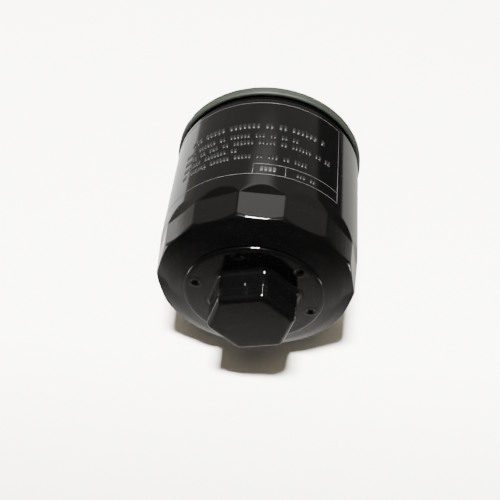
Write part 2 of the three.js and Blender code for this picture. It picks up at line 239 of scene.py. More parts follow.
def sheet(line, thick, bend):
    """Closed outline of pressed sheet metal whose middle follows the corners of `line`."""
    middle = rounded([(r, z, bend) for r, z in line], closed=False)
    return offset(middle, thick / 2) + offset(middle, -thick / 2)[::-1]


def soft_min(a, b, blend):
    """The smaller of two numbers, with a rounded change from one to the other."""
    h = max(blend - abs(a - b), 0.0) / blend
    return min(a, b) - h * h * blend / 4


def ramp(value, low, high):
    t = min(max((value - low) / (high - low), 0.0), 1.0)
    return t * t * (3 - 2 * t)


# ------------------------------------------------------------------ meshes


def laid(x, y, height):
    """A point given across the axis (x to the right, y upwards) and along it, in the frame."""
    return (x * MM, GASKET_Y - height * MM, AXIS_Z + y * MM)


def spot(r, turn, height):
    a = math.radians(turn)
    return laid(r * math.sin(a), r * math.cos(a), height)


def skin(rings, closed=False):
    """Vertices and faces between rings of points; a ring of one point is a centre."""
    verts, faces, first = [], [], []
    for ring in rings:
        first.append(len(verts))
        verts.extend(ring)
    pairs = list(zip(range(len(rings)), range(1, len(rings))))
    if closed:
        pairs.append((len(rings) - 1, 0))
    for a, b in pairs:
        count = max(len(rings[a]), len(rings[b]))
        for i in range(count):
            j = (i + 1) % count
            lower = [first[a] + i, first[a] + j] if len(rings[a]) > 1 else [first[a]]
            upper = [first[b] + j, first[b] + i] if len(rings[b]) > 1 else [first[b]]
            faces.append(lower + upper)
    return verts, faces


def turned(outline, columns=192):
    """Rings of a turned shape. Points on the axis become centres."""
    turns = [360 * i / columns for i in range(columns)]
    return [[spot(0, 0, z)] if r < 1e-6 else [spot(r, t, z) for t in turns] for r, z in outline]


def joined(parts):
    """One (verts, faces) from several."""
    verts, faces = [], []
    for part_verts, part_faces in parts:
        start = len(verts)
        verts.extend(part_verts)
        faces.extend([[start + i for i in face] for face in part_faces])
    return verts, faces


def linked(name, data):
    """A new object in the scene."""
    made = bpy.data.objects.new(name, data)
    bpy.context.scene.collection.objects.link(made)
    return made


def solid(name, shape, smooth):
    """An object with outward-facing faces from (verts, faces)."""
    mesh = bpy.data.meshes.new(name)
    mesh.from_pydata(shape[0], [], shape[1])
    bm = bmesh.new()
    bm.from_mesh(mesh)
    bmesh.ops.recalc_face_normals(bm, faces=bm.faces)
    for face in bm.faces:
        face.smooth = smooth
    bm.to_mesh(mesh)
    bm.free()
    return linked(name, mesh)


def piece(name, shape, material, body, nodes=(), weighted=True):
    """A finished piece of the object, smooth-shaded, riding on its body."""
    thing = solid(name, shape, smooth=True)
    thing.data.materials.append(material)
    if weighted:
        thing.modifiers.new("even_shading", "WEIGHTED_NORMAL").weight = 80
    if body:
        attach(thing, body)
    if nodes:
        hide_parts(*nodes)
    return thing


def ring_piece(name, outline, material, node, columns=192):
    """A fixed piece turned from a closed outline."""
    return piece(name, skin(turned(outline, columns), closed=True), material, "root", [node])


def cut(thing, shape):
    """Takes a closed shape out of a piece."""
    cutter = solid("cutter", shape, smooth=False)
    boolean = thing.modifiers.new("cut", "BOOLEAN")
    boolean.operation = "DIFFERENCE"
    boolean.solver = "EXACT"
    boolean.object = cutter
    bpy.context.view_layer.update()
    graph = bpy.context.evaluated_depsgraph_get()
    result = bpy.data.meshes.new_from_object(thing.evaluated_get(graph))
    thing.modifiers.remove(boolean)
    thing.data = result
    bpy.data.objects.remove(cutter)


def rod(points, radius, sides=14):
    """Round wire along a line of points in metres, with rounded ends."""
    rings = []
    radius *= MM
    points = [Vector(p) for p in points]
    side = None
    last = len(points) - 1
    for i, p in enumerate(points):
        along = (points[min(i + 1, last)] - points[max(i - 1, 0)]).normalized()
        if side is None:
            side = along.orthogonal().normalized()
        side = (side - along * side.dot(along)).normalized()
        other = along.cross(side)
        circle = [side * math.cos(a) + other * math.sin(a) for a in
                  (2 * math.pi * k / sides for k in range(sides))]
        way = {0: -1, last: 1}.get(i)
        if way:
            reach_out = along * way * radius * 0.9
            cap = []
            for out in (0.0, 0.6, 0.9):
                scale = radius * math.sqrt(1 - out * out)
                cap.append([tuple(p + reach_out * out + c * scale) for c in circle])
            cap.append([tuple(p + reach_out)])
            rings += cap[::way]
        else:
            rings.append([tuple(p + c * radius) for c in circle])
    return skin(rings)


def helix(turns, radius_at, height_at, steps=48):
    shares = [i / (turns * steps) for i in range(turns * steps + 1)]
    return [spot(radius_at(t), 360 * turns * t, height_at(t)) for t in shares]


# ------------------------------------------------------------------ materials


class Paint:
    """A Principled material, with short calls for the nodes that vary it over the surface."""

    def __init__(self, name, **sockets):
        self.material = bpy.data.materials.new(name)
        self.material.use_nodes = True
        self.tree = self.material.node_tree
        self.shader = self.tree.nodes["Principled BSDF"]
        for socket, value in sockets.items():
            self.shader.inputs[socket.replace("_", " ")].default_value = value
        self.place = self.tree.nodes.new("ShaderNodeTexCoord").outputs["Object"]

    def link(self, source, target):
        self.tree.links.new(source, target)

    def node(self, kind, settings=None, **inputs):
        made = self.tree.nodes.new("ShaderNode" + kind)
        for key, value in (settings or {}).items():
            setattr(made, key, value)
        for key, value in inputs.items():
            socket = made.inputs[key.replace("_", " ")]
            if isinstance(value, bpy.types.NodeSocket):
                self.link(value, socket)
            else:
                socket.default_value = value
        return made

    def noise(self, size, detail=3.0, stretch=(1, 1, 1), rough=0.5):
        """Noise whose features are about `size` mm across, stretched along each axis."""
        scale = [1 / (size * MM * s) for s in stretch]
        mapped = self.node("Mapping", Vector=self.place, Scale=scale)
        return self.node("TexNoise", Vector=mapped.outputs[0], Scale=1.0, Detail=detail,
                         Roughness=rough).outputs["Fac"]

    def between(self, value, low, high, bottom=0.3, top=0.7):
        """Numbers from low to high as the value goes from bottom to top."""
        return self.node("MapRange", Value=value, From_Min=bottom, From_Max=top,
                         To_Min=low, To_Max=high).outputs[0]

    def colours(self, value, stops):
        """Colour ramp through (position, colour) stops."""
        made = self.node("ValToRGB", Fac=value)
        elements = made.color_ramp.elements
        while len(elements) < len(stops):
            elements.new(0.5)
        for element, (position, colour) in zip(elements, stops):
            element.position = position
            element.color = (*colour, 1)
        return made.outputs["Color"]

    def bump(self, height, depth, strength=1.0):
        """Bump of `depth` mm."""
        made = self.node("Bump", Height=height, Distance=depth * MM, Strength=strength)
        self.link(made.outputs[0], self.shader.inputs["Normal"])
        return made

    def set(self, socket, source):
        self.link(source, self.shader.inputs[socket])

    def tint(self, value, *stops, socket="Base Color"):
        """Colour through (position, colour) stops."""
        self.set(socket, self.colours(value, stops))

    def along(self, axis):
        """Place along an axis of the frame, in metres."""
        return self.node("SeparateXYZ", Vector=self.place).outputs[axis]

    def roughen(self, value, low, high):
        self.set("Roughness", self.between(value, low, high))


def black_enamel():
    paint = Paint("black_enamel", IOR=1.5)
    cloud = paint.noise(14, 4)
    specks = paint.noise(0.55, 1)
    paint.tint(specks, (0.0, (0.0007, 0.0007, 0.0008)), (0.74, (0.0008, 0.0008, 0.0008)),
               (0.80, (0.003, 0.0029, 0.0027)))
    paint.roughen(cloud, 0.085, 0.13)
    paint.bump(paint.noise(2.6, 2), 0.012, 0.5)
    return paint.material


def screen_print(name, thin, full):
    paint = Paint(name, Specular_IOR_Level=0.2)
    cloud = paint.noise(1.2, 3)
    paint.tint(cloud, (0.3, (thin, thin, thin * 0.96)), (0.7, (full, full, full * 0.96)))
    paint.roughen(cloud, 0.4, 0.6)
    return paint.material


def zinc_plate(name, tone):
    paint = Paint(name, Metallic=0.4, Specular_IOR_Level=0.15)
    cloud = paint.noise(6, 4)
    drawn = paint.noise(0.5, 2, stretch=(6, 0.6, 6))
    paint.tint(cloud, (0.3, (0.75 * tone, 0.89 * tone, 0.71 * tone)),
               (0.7, (tone, 1.16 * tone, 0.94 * tone)))
    paint.roughen(drawn, 0.52, 0.66)
    paint.bump(drawn, 0.006, 0.4)
    return paint.material


def plain_steel():
    paint = Paint("plain_steel", Metallic=1.0)
    cloud = paint.noise(5, 4)
    grain = paint.noise(0.4, 2, stretch=(8, 1, 1))
    paint.tint(cloud, (0.3, (0.50, 0.51, 0.52)), (0.7, (0.62, 0.62, 0.62)))
    paint.roughen(grain, 0.28, 0.45)
    paint.bump(grain, 0.005, 0.4)
    return paint.material


def spring_wire():
    paint = Paint("spring_wire", Metallic=1.0)
    cloud = paint.noise(2, 3)
    paint.tint(cloud, (0.3, (0.20, 0.20, 0.215)), (0.7, (0.33, 0.33, 0.34)))
    paint.roughen(cloud, 0.25, 0.4)
    paint.bump(paint.noise(0.3, 2), 0.01, 0.4)
    return paint.material


def nitrile():
    paint = Paint("nitrile")
    cloud = paint.noise(4, 4)
    paint.tint(cloud, (0.3, (0.014, 0.014, 0.015)), (0.7, (0.026, 0.025, 0.025)))
    paint.roughen(cloud, 0.45, 0.62)
    paint.bump(paint.noise(0.25, 3), 0.02, 0.5)
    return paint.material


def silicone():
    paint = Paint("silicone", Subsurface_Weight=0.15, Subsurface_Radius=(0.001, 0.0004, 0.0002))
    cloud = paint.noise(5, 3)
    paint.tint(cloud, (0.3, (0.48, 0.08, 0.02)), (0.7, (0.60, 0.12, 0.035)))
    paint.roughen(cloud, 0.38, 0.5)
    paint.bump(paint.noise(0.4, 2), 0.01, 0.4)
    return paint.material


def filter_paper():
    paint = Paint("filter_paper")
    fibre = paint.noise(0.5, 5, stretch=(1, 4, 1))
    paint.tint(fibre, (0.25, (0.52, 0.38, 0.17)), (0.75, (0.74, 0.60, 0.34)))
    paint.roughen(fibre, 0.75, 0.95)
    ribs = paint.node("TexWave", {"wave_type": "BANDS", "bands_direction": "Y"}, Vector=paint.place,
                      Scale=160.0, Distortion=0.3)
    paint.bump(ribs.outputs["Fac"], 0.12, 0.6)
    return paint.material


def plastisol():
    paint = Paint("plastisol")
    cloud = paint.noise(3, 3)
    paint.tint(cloud, (0.3, (0.16, 0.022, 0.015)), (0.7, (0.24, 0.036, 0.024)))
    paint.roughen(cloud, 0.35, 0.5)
    paint.bump(paint.noise(0.8, 3), 0.03, 0.5)
    return paint.material


black = black_enamel()
ink = screen_print("screen_print", 0.016, 0.027)
faint_ink = screen_print("screen_print_rows", 0.0025, 0.006)
zinc = zinc_plate("zinc_seam", 0.019)
plate_zinc = zinc_plate("zinc_base", 0.13)
steel = plain_steel()
wire = spring_wire()
rubber = nitrile()
red_rubber = silicone()
paper = filter_paper()
resin = plastisol()

# ------------------------------------------------------------------ can


def heights_to_radii(outline):
    """A function of z from an outline that rises all the way."""
    def radius(z):
        for (r0, z0), (r1, z1) in zip(outline, outline[1:]):
            if z <= z1:
                share = (z - z0) / max(z1 - z0, 1e-9)
                return r0 + (r1 - r0) * share
        return outline[-1][0]
    return radius


def can_outline(inset=0.0):
    """From just under the seam up to the centre of the closed end."""
    end = SHELL_TOP
    line = rounded([
        (35.95, NECK_FOOT, 0), (35.95, 7.6, 0.5), (SHELL_R, 9.0, 1.1), (SHELL_R, end - 6.2, 2.0),
        (35.8, end - 3.9, 1.6), (31.5, end - 1.9, 14.0), (25.0, end, 14.0), (0, end, 0),
    ], closed=False, step=3)
    return offset(line, inset) if inset else line


def flat_apothem():
    """Distance from the axis to the middle of a flat, at each height."""
    full_r = SHELL_R * math.cos(math.pi / FLATS)
    end_r = SHELL_R - FLAT_DEPTH
    run_out = (SHELL_R - full_r) / (FLAT_FULL - FLAT_APEX)
    draft = (full_r - end_r) / (FLAT_END - FLAT_FULL)
    line = rounded([(SHELL_R + 8 * run_out, FLAT_APEX - 8, 0), (full_r, FLAT_FULL, 0.6),
                    (end_r - draft * 6, FLAT_END + 6, 0)], closed=False, step=4)
    return heights_to_radii(line)


def can_rings(outline, inset=0.0):
    """Rings of the can with the flats pressed in. Columns are closer near the flats' edges."""
    apothem = flat_apothem()
    sector = math.pi / FLATS
    shares = [0, .16, .32, .48, .62, .74, .83, .90, .95, .985]
    deltas = [-s * sector for s in shares[::-1]] + [s * sector for s in shares[1:]] + [sector]
    rings = []
    for r, z in outline:
        if r < 1e-6:
            rings.append([spot(0, 0, z)])
            continue
        limit = apothem(z + (inset if z < SHELL_TOP - 1 else 0)) - inset
        edge = 0.25 + 0.95 * ramp(z, FLAT_END - 1, SHELL_TOP - 2)
        blend = 0.12 + 0.3 * ramp(z, FLAT_END - 2, FLAT_END + 1)
        ring = []
        for k in range(FLATS):
            for delta in deltas:
                flat = soft_min(limit / math.cos(delta), limit / math.cos(2 * sector - abs(delta)), edge)
                turn = FLATS_TURN + math.degrees(delta) + k * 360 / FLATS
                ring.append(spot(soft_min(r, flat, blend), turn, z))
        rings.append(ring)
    return rings


def can_levels(outline, low, high, step):
    """Outline with extra points where it runs straight up between two heights."""
    out = []
    for (r0, z0), (r1, z1) in zip(outline, outline[1:]):
        out.append((r0, z0))
        if z1 - z0 > step:
            z = max(z0, low) + step
            while z < min(z1, high) - step / 2:
                out.append((r0 + (r1 - r0) * (z - z0) / (z1 - z0), z))
                z += step
    out.append(outline[-1])
    return out


def build_shell():
    outside = can_levels(can_outline(), FLAT_APEX - 3, SHELL_TOP, 0.3)
    inside = can_levels(can_outline(SHELL_SHEET), FLAT_APEX - 3, SHELL_TOP, 1.2)
    inside[-1] = (0, SHELL_TOP - SHELL_SHEET)
    neck_in = NECK_R - SHELL_SHEET
    hook = [(neck_in, NECK_FOOT), (neck_in, 4.3), (NECK_R - 0.5, 3.7), (NECK_R, 3.62), (37.0, 3.62),
            (37.1, 3.8), (37.1, 5.3), (36.6, 5.3), (36.6, 4.2), (NECK_R, 4.2)]
    shape = skin(can_rings(inside[::-1], SHELL_SHEET) + can_rings(hook) + can_rings(outside))
    piece("can_shell", shape, black, "root", ["shell"], weighted=False)


# ------------------------------------------------------------------ hex cap


def hex_radius(turn, apothem, corner):
    """Distance to a hexagon with rounded corners; with corner = apothem it is a circle."""
    away = abs((turn - HEX_TURN + 30) % 60 - 30)
    a = math.radians(away)
    centre = (apothem - corner) / math.cos(math.pi / 6)
    if math.tan(a) * apothem <= (apothem - corner) * math.tan(math.pi / 6):
        return apothem / math.cos(a)
    d = math.pi / 6 - a
    return centre * math.cos(d) + math.sqrt(max(corner ** 2 - (centre * math.sin(d)) ** 2, 0))


def weld_dip(r, turn):
    """How far the flange is dented at a point by the six weld projections."""
    share = 360 / WELDS
    away = math.radians((turn - HEX_TURN + share / 2) % share - share / 2)
    d = math.hypot(r * math.cos(away) - WELD_PITCH, r * math.sin(away))
    dent = WELD_DEPTH * (1 - ramp(d, 0.15 * WELD_RADIUS, WELD_RADIUS))
    lip = WELD_LIP * math.exp(-((d - WELD_RADIUS * 1.18) / WELD_LIP_WIDTH) ** 2)
    return dent - lip


def quarter(steps):
    """(sine, cosine) of angles from 0 to 90 degrees."""
    return [(math.sin(a), math.cos(a)) for a in (math.pi / 2 * k / steps for k in range(steps + 1))]


def build_hex_cap():
    half = HEX_ACROSS / 2
    front, back = top("hex_cap"), foot("hex_cap")
    face = back + FLANGE_FACE
    rim = reach("hex_cap")
    columns = [HEX_TURN + i * 0.75 for i in range(480)]

    def ring(apothem, corner, z, dents=False):
        points = []
        for turn in columns:
            r = hex_radius(turn, apothem, corner)
            points.append(spot(r, turn, z - (weld_dip(r, turn) if dents else 0)))
        return points

    rings = [[spot(0, 0, front)]]
    rings += [ring(a, min(a * 0.9, HEX_CORNER), front) for a in (3, 6, 9, 11, half - HEX_EDGE - 0.25)]
    for sine, cosine in quarter(8):
        rings.append(ring(half - HEX_EDGE + HEX_EDGE * sine, HEX_CORNER - HEX_EDGE * 0.7 * (1 - sine),
                          front - HEX_EDGE + HEX_EDGE * cosine))
    side_top, side_foot = front - HEX_EDGE, face + HEX_FILLET
    for k in range(1, 60):
        share = k / 60
        wave = PRESS_LINES * math.sin(math.pi * share / PRESS_PITCH) ** 2
        wave *= ramp(share, 2.2 * PRESS_PITCH, 1.9 * PRESS_PITCH)
        rings.append(ring(half - wave, HEX_CORNER, side_top + (side_foot - side_top) * share))
    for sine, cosine in quarter(8):
        spread = HEX_FILLET * (1 - cosine)
        rings.append(ring(half + spread, HEX_CORNER + spread, face + HEX_FILLET - HEX_FILLET * sine))
    start, last = half + HEX_FILLET, rim - FLANGE_ROUND[0]
    for k in range(1, 40):
        r = start + (last - start) * k / 39
        corner = (HEX_CORNER + HEX_FILLET) + (r - HEX_CORNER - HEX_FILLET) * ramp(k, 0, 9)
        rings.append(ring(r, corner, face - FLANGE_FALL * ramp(k, 6, 46), dents=True))
    for sine, cosine in quarter(6)[1:]:
        r = last + FLANGE_ROUND[0] * sine
        rings.append(ring(r, r, face - FLANGE_FALL - FLANGE_ROUND[1] * (1 - cosine)))
    rings.append(ring(rim, rim, back))
    inner = half - HEX_SHEET
    rings.append(ring(inner + 0.8, 3.2, back))
    rings.append(ring(inner, 2.2, back + 1.2))
    rings.append(ring(inner, 2.2, front - 2.8))
    rings.append(ring(inner - 1.2, 2.0, front - HEX_SHEET))
    rings.append([spot(0, 0, front - HEX_SHEET)])
    piece("welded_hex_cap", skin(rings), black, "root", ["hex_cap"])


# ------------------------------------------------------------------ base end


def build_lid():
    thick = LID_SHEET
    skirt = SEAM_R - thick / 2
    low = SEAM_FOOT + thick / 2
    hem = SEAM_TOP - thick / 2
    wall = reach("gasket") + 0.3 + thick / 2
    outline = sheet([(36.7, hem), (skirt, hem), (skirt, low), (wall, low), (wall, 5.9), (30.2, 5.9),
                     (30.2, 3.3), (29.0, 3.3), (27.8, 6.0), (25.5, 6.0)], thick, 0.75)
    ring_piece("rolled_seam_lid", outline, zinc, "seaming_lid", 256)
    inner, outer, low, high = section("seam_compound")
    ring = rounded([(inner, low, 0.15), (outer, low, 0.15), (outer, high, 0.15), (inner, high, 0.15)])
    ring_piece("seam_sealing_compound", ring, resin, "seam_compound")


def build_gasket():
    inner, outer, low, high = section("gasket")
    outline = rounded([(inner, high, 0.25), (outer, high, 0.25), (outer, low, 0.7),
                       (outer - 1.15, low, 0.3), (outer - 1.4, low + 0.18, 0.2),
                       (inner + 1.4, low + 0.18, 0.2), (inner + 1.15, low, 0.3), (inner, low, 0.7)])
    ring_piece("ring_gasket", outline, rubber, "gasket", 256)


def build_base_plate():
    """The plate and its hub as one turned shape; the bore carries real thread turns."""
    low, plate_top, hub_top = foot("base_plate"), foot("base_plate") + 3.2, top("base_plate")
    minor, lead, rim = bore("base_plate"), 9.9, reach("base_plate")
    hub = 12.4
    columns = 144
    turns = [360 * i / columns for i in range(columns)]
    solid = rounded([(lead, low, 0.2), (rim, low, 0.6), (rim, plate_top, 0.6), (hub, plate_top, 0.8),
                     (hub, hub_top, 0.6), (lead - 0.4, hub_top, 0.15)], closed=False)
    rings = turned(solid, columns)
    steps = 90
    for i in range(steps + 1):
        z = hub_top - (hub_top - low) * i / steps
        open_in = max(lead - minor - (z - low), 0)
        open_out = max(0.7 - (hub_top - z), 0)
        ring = []
        for turn in turns:
            phase = ((z - low) / THREAD_PITCH + turn / 360) % 1
            groove = THREAD_DEPTH * (1 - abs(2 * phase - 1)) ** 0.8
            ring.append(spot(max(minor + groove, minor + open_in, minor + open_out), turn, z))
        rings.append(ring)
    plate = piece("threaded_base_plate", skin(rings, closed=True), plate_zinc, "root",
                  ["base_plate"])
    holes = []
    for i in range(INLETS):
        a = 2 * math.pi * i / INLETS
        x, y = INLET_PITCH * math.sin(a), INLET_PITCH * math.cos(a)
        rings = [[laid(x, y, low - 1)]]
        mouth = INLET_RADIUS + 0.5
        for r, z in ((mouth, low - 1), (mouth, low - 0.02), (INLET_RADIUS, low + 0.5),
                     (INLET_RADIUS, plate_top + 1)):
            sides = [k * math.pi / 24 for k in range(48)]
            rings.append([laid(x + r * math.cos(side), y + r * math.sin(side), z) for side in sides])
        holes.append(skin(rings + [[laid(x, y, plate_top + 1)]]))
    cut(plate, joined(holes))
    for face in plate.data.polygons:
        face.use_smooth = True


def build_drainback_valve():
    """One silicone moulding: the hub stays on the plate and the lip lifts off the inlets."""
    lip_r = reach("drainback_valve_lip")
    low, hub_low = foot("drainback_valve_lip"), foot("drainback_valve_hub")
    hub_top, hub_r = top("drainback_valve_hub"), bore("drainback_valve_hub")
    web = low + 1.2
    outline = rounded([
        (hub_r, hub_low, 0.3), (15.6, hub_low, 0.4), (15.9, web, 0.5), (20.0, web, 1.5), (25.4, low, 0.5),
        (lip_r, low, 0.25), (lip_r, low + 0.8, 0.35), (20.0, web + 1.1, 1.5), (16.2, web + 1.1, 0.8),
        (15.6, hub_top, 0.4), (hub_r, hub_top, 0.3)], step=10)
    dense = []
    for a, b in zip(outline, outline[1:] + outline[:1]):
        parts = max(1, math.ceil(math.dist(a, b) / 0.6))
        for i in range(parts):
            dense.append((a[0] + (b[0] - a[0]) * i / parts, a[1] + (b[1] - a[1]) * i / parts))
    valve = piece("drainback_valve", skin(turned(dense, 144), closed=True), red_rubber, None,
                  ["drainback_valve_hub", "drainback_valve_lip"], weighted=False)
    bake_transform(valve, "root", "drainback_lip", start=laid(0, 0, hub_top), end=laid(0, 0, low))
    weights = valve.data.attributes["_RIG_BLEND"].data
    for vertex, weight in zip(valve.data.vertices, weights):
        r = math.hypot(vertex.co.x, vertex.co.z - AXIS_Z) / MM
        weight.value = ramp(r, 17.5, lip_r - 1.5)


# ------------------------------------------------------------------ element


def build_end_cap(name, node, toward):
    """Pressed cap; `toward` is +1 where its rim points to the hex end."""
    hole, rim, low, high = section(node)
    rim -= CAP_SHEET / 2
    middle = (low if toward > 0 else high) + toward * CAP_SHEET / 2
    edge = high if toward > 0 else low
    outline = sheet([(hole, middle), (rim, middle), (rim, edge)], CAP_SHEET, 0.9)
    ring_piece(name, outline, steel, node)


def build_potting(name, node):
    inner, outer, low, high = section(node)
    outline = rounded([(inner, low, 0.2), (outer, low, 0.3), (outer, high, 0.2), (inner, high, 0.3)])
    ring_piece(name, outline, resin, node)


def build_centre_tube():
    """Perforated steel tube: a ring of wall patches, each with a round hole."""
    _, outer, low, high = section("centre_tube")
    inner = outer - TUBE_WALL
    margin = 2.0
    row_height = (high - low - 2 * margin) / TUBE_ROWS
    cell = 360 / TUBE_HOLES
    half_side = 5       # mesh columns in half a side of a cell
    verts, faces, index = [], [], {}

    def vertex(turn, z, r):
        key = (round(turn % 360, 4), round(z, 4), r)
        if key not in index:
            index[key] = len(verts)
            verts.append(spot(r, turn, z))
        return index[key]

    def bridge(a, b):
        for k in range(len(a)):
            j = (k + 1) % len(a)
            faces.append([a[k], a[j], b[j], b[k]])

    def patch(turn, z, r):
        """Faces between a square cell and the circle in it."""
        square, circle = [], []
        for k in range(8 * half_side):
            side, t = divmod(k, 2 * half_side)
            t = t / half_side - 1
            u, v = [(1, t), (-t, 1), (-1, -t), (t, -1)][side]
            a = math.atan2(v, u)
            square.append((turn + u * cell / 2, z + v * row_height / 2))
            circle.append((turn + math.degrees(TUBE_HOLE * math.cos(a) / outer),
                           z + TUBE_HOLE * math.sin(a)))
        out = [vertex(t, h, r) for t, h in square]
        hole = [vertex(t, h, r) for t, h in circle]
        bridge(out, hole)
        return hole

    def band(*edges):
        """Faces between two rings, each (height, radius)."""
        turns = [cell * (k / (2 * half_side) + 0.5) for k in range(TUBE_HOLES * 2 * half_side)]
        bridge(*[[vertex(t, *edge) for t in turns] for edge in edges])

    for row in range(TUBE_ROWS):
        for i in range(TUBE_HOLES):
            turn = (i + (row % 2) / 2) * cell
            z = low + margin + (row + 0.5) * row_height
            bridge(patch(turn, z, outer), patch(turn, z, inner))
    for r in (outer, inner):
        band((low, r), (low + margin, r))
        band((high - margin, r), (high, r))
    for z in (low, high):
        band((z, outer), (z, inner))
    piece("perforated_centre_tube", (verts, faces), steel, "root", ["centre_tube"])


def build_media():
    """Folded paper with rounded folds, standing between the two potting rings."""
    low, high = foot("pleated_media"), top("pleated_media")
    inner, outer = bore("pleated_media") + PAPER, reach("pleated_media") - 0.2
    step = 360 / PLEATS
    half_tip, half_root = math.degrees(0.55 / outer), math.degrees(0.35 / inner)
    tips = [outer] * PLEATS
    tips[0] -= 1.2      # leaves room for the clip

    def flank(share, tip):
        """Turn from the tip and radius, at a share of the way from the tip to the root."""
        return (half_tip + (step / 2 - half_root - half_tip) * share,
                tip - 0.7 + (inner + 0.5 - tip + 0.7) * share)

    fold = []
    for i, tip in enumerate(tips):
        for t, r in ((-half_tip, tip - 0.7), (-half_tip * 0.8, tip - 0.2), (0, tip),
                     (half_tip * 0.8, tip - 0.2), (half_tip, tip - 0.7)):
            fold.append((i * step + t, r))
        for k in range(1, 6):
            lean, r = flank(k / 6, tip)
            fold.append((i * step + lean, r))
        for t, r in ((-half_root, inner + 0.5), (-half_root * 0.7, inner + 0.1),
                     (half_root * 0.7, inner + 0.1), (half_root, inner + 0.5)):
            fold.append(((i + 0.5) * step + t, r))
        for k in range(1, 6):
            lean, r = flank(1 - k / 6, tips[(i + 1) % PLEATS])
            fold.append(((i + 1) * step - lean, r))
    line = [Vector((r * math.sin(math.radians(t)), r * math.cos(math.radians(t)))) for t, r in fold]
    count = len(line)
    left, right = [], []
    for i, p in enumerate(line):
        along = (line[(i + 1) % count] - line[i - 1]).normalized()
        normal = Vector((-along.y, along.x))
        left.append(p + normal * PAPER / 2)
        right.append(p - normal * PAPER / 2)
    levels = [low + (high - low) * k / 8 for k in range(9)]
    rings = [[laid(p.x, p.y, z) for p in left] for z in levels]
    rings += [[laid(p.x, p.y, z) for p in right] for z in levels[::-1]]
    piece("pleated_paper", skin(rings, closed=True), paper, "root", ["pleated_media"],
          weighted=False)


def build_clip():
    """Folded strip over the joint between the paper's ends."""
    low, high = foot("pleat_clip"), top("pleat_clip")
    outer = reach("pleat_clip") - 0.05
    line = rounded([(-1.1, outer - 3.2, 0), (-1.1, outer - 0.2, 0.5), (1.1, outer - 0.2, 0.5),
                    (1.1, outer - 3.2, 0)], closed=False)
    outline = offset(line, 0.2) + offset(line, -0.2)[::-1]
    rings = [[laid(x, y, z) for x, y in outline] for z in (low, high)]
    verts, faces = skin(rings)
    count = len(outline)
    half = len(line)
    for start in (0, count):
        for i in range(half - 1):
            faces.append([start + i, start + i + 1, start + count - 2 - i, start + count - 1 - i])
    piece("paper_joint_clip", (verts, faces), steel, "root", ["pleat_clip"])


# ------------------------------------------------------------------ bypass valve and springs


def build_bypass():
    spigot_low, seat_top = foot("bypass_seat"), top("bypass_seat")
    # The seat is upright in the closed end: its flange is outside the cap and its spigot inside.
    seat = rounded([(6.2, seat_top, 0.3), (11.0, seat_top, 0.25), (11.0, seat_top - 0.6, 0.25),
                    (7.2, seat_top - 0.6, 0.4), (7.2, spigot_low, 0.25), (6.2, spigot_low, 0.25)])
    ring_piece("bypass_valve_seat", seat, steel, "bypass_seat", 96)
    for name, node, material, slot in (("bypass_seal_disc", "bypass_seal", rubber, "nitrile_rubber"),
                                       ("bypass_backing_disc", "bypass_disc", steel, "tinplate")):
        _, r, low, high = section(node)
        outline = rounded([(0, low, 0), (r, low, 0.25), (r, high, 0.25), (0, high, 0)], closed=False)
        piece(name, skin(turned(outline, 96)), material, "bypass_valve", [node])


def build_cage():
    """Cap-shaped cage over the bypass spring, with four windows."""
    _, rim, low, high = section("bypass_cage")
    line = [(rim, high - 0.3), (10.2, high - 0.3), (10.2, low + 0.3), (3.0, low + 0.3)]
    cage = ring_piece("bypass_spring_cage", sheet(line, 0.6, 1.0), steel, "bypass_cage", 96)
    windows = []
    middle = (low + high) / 2
    for i in range(4):
        quarter = Matrix.Rotation(math.radians(90 * i), 2)
        corner = rounded([(-3.5, middle - 4.5, 1.2), (3.5, middle - 4.5, 1.2), (3.5, middle + 4.5, 1.2),
                          (-3.5, middle + 4.5, 1.2)])
        rings = [[laid(*(quarter @ Vector((x, y))), z) for x, z in corner] for y in (7.5, 13.5)]
        verts, faces = skin(rings)
        faces += [list(range(len(corner))), list(range(len(corner), 2 * len(corner)))]
        windows.append((verts, faces))
    cut(cage, joined(windows))


def closed_ends(t, flat):
    """Share of the height at a share of the wire, with closed coils at both ends."""
    return min(max((t - flat) / (1 - 2 * flat), 0), 1)


def build_spring(name, node, thick, coils, radius_at, flat):
    """Wire spring between its node's ends; `flat` is the share of the wire in each closed end."""
    low, high, r = foot(node), top(node), thick / 2
    points = helix(coils, radius_at, lambda t: low + r + (high - low - 2 * r) * closed_ends(t, flat))
    return piece(name, rod(points, r), wire, "root", [node], weighted=False)


def build_springs():
    spring = build_spring("bypass_coil_spring", "bypass_spring", 1.2, 5, lambda t: 5.2, 0.12)
    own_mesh(spring)
    build_spring("element_cone_spring", "element_spring", 1.8, 3, lambda t: 15 + 6.5 * t, 0.16)


# ------------------------------------------------------------------ printed panel

PANEL_LOW, PANEL_HIGH = 11.2, 50.9      # heights of the frame's two rings
PANEL_START, PANEL_EDGE = -100.0, 48.0  # turns of its left and right ends
CELL_LOW = 45.7                         # height at which the two-cell box begins
BOX = (-4.65, 13.3)                     # turns of its left side and its partition
LINE = 0.28                             # width of the frame's lines
PRINT_SINK = 0.03                       # print reaches this far into the can


